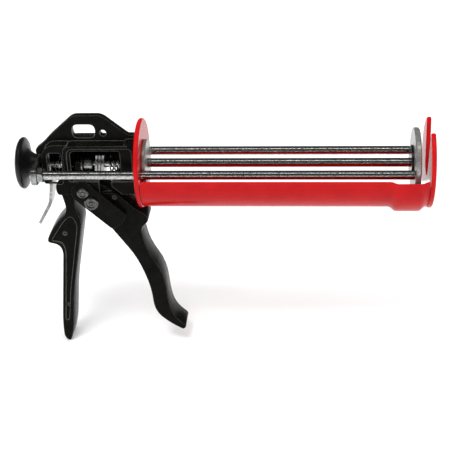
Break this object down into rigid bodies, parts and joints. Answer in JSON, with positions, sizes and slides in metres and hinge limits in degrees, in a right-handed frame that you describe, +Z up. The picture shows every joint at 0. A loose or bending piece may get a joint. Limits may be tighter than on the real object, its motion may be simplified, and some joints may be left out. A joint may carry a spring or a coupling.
{
  "type": "caulking gun",
  "caption": "Hand caulking gun with a half-open red tray cradle, sliding plunger rods and disc, black squeeze trigger and grip, pull knob and release lever.",
  "frame": {"origin": "centre of the plunger disc's front face with the rods pushed fully forward", "axes": "+X along the rods toward the nozzle, +Z up through the hanging web, -Y the tray's covered side"},
  "size_m": [0.3226, 0.0727, 0.2013],
  "materials": {
    "red_paint": "gloss",
    "black_paint": "semi-gloss",
    "rod_steel": "polished",
    "zinc_steel": "satin",
    "dark_steel": "dull",
    "black_plastic": "gloss"
  },
  "bodies": {
    "gun_body": {"cradle_tray": "red_paint", "rear_flange": "red_paint", "front_plate": "red_paint", "guide_disc": "rod_steel", "housing": "black_paint", "grip": "black_paint", "pivot_pin": "dark_steel", "brake_spring": "zinc_steel", "drive_spring": "zinc_steel"},
    "plunger": {"drive_rod": "rod_steel", "side_rod_near": "rod_steel", "side_rod_far": "rod_steel", "plunger_disc": "rod_steel", "plunger_hub": "dark_steel", "yoke_bar": "zinc_steel", "yoke_nut_near": "zinc_steel", "yoke_nut_far": "zinc_steel", "knob": "black_plastic"},
    "trigger_lever": {"trigger": "black_paint", "trigger_arm_near": "black_paint", "trigger_arm_far": "black_paint", "arm_rivet": "dark_steel"},
    "drive_carriage": {"push_ring": "zinc_steel", "drive_sleeve": "zinc_steel", "gripping_plate_rear": "zinc_steel", "gripping_plate_middle": "zinc_steel", "gripping_plate_front": "zinc_steel"},
    "release": {"release_lever": "zinc_steel"}
  },
  "joints": [
    {"name": "plunger_slide", "type": "slide", "parent": "gun_body", "child": "plunger", "axis": [1, 0, 0], "range_m": [-0.2, 0]},
    {"name": "trigger_pull", "type": "hinge", "parent": "gun_body", "child": "trigger_lever", "pos_m": [-0.26, 0, -0.0185], "axis": [0, 1, 0], "range_deg": [0, 26], "stiffness_Nm_per_rad": 1.2, "springref_deg": -22.92},
    {"name": "carriage_slide", "type": "slide", "parent": "gun_body", "child": "drive_carriage", "axis": [1, 0, 0], "range_m": [0, 0.0103], "deforming": ["drive_spring"]},
    {"name": "release_press", "type": "hinge", "parent": "gun_body", "child": "release", "pos_m": [-0.2863, 0, 0.0105], "axis": [0, -1, 0], "range_deg": [0, 6], "stiffness_Nm_per_rad": 0.4, "springref_deg": -8.59, "deforming": ["brake_spring"]}
  ],
  "couplings": [
    {"joint": "carriage_slide", "follows": "trigger_pull", "m_per_rad": 0.0225}
  ]
}
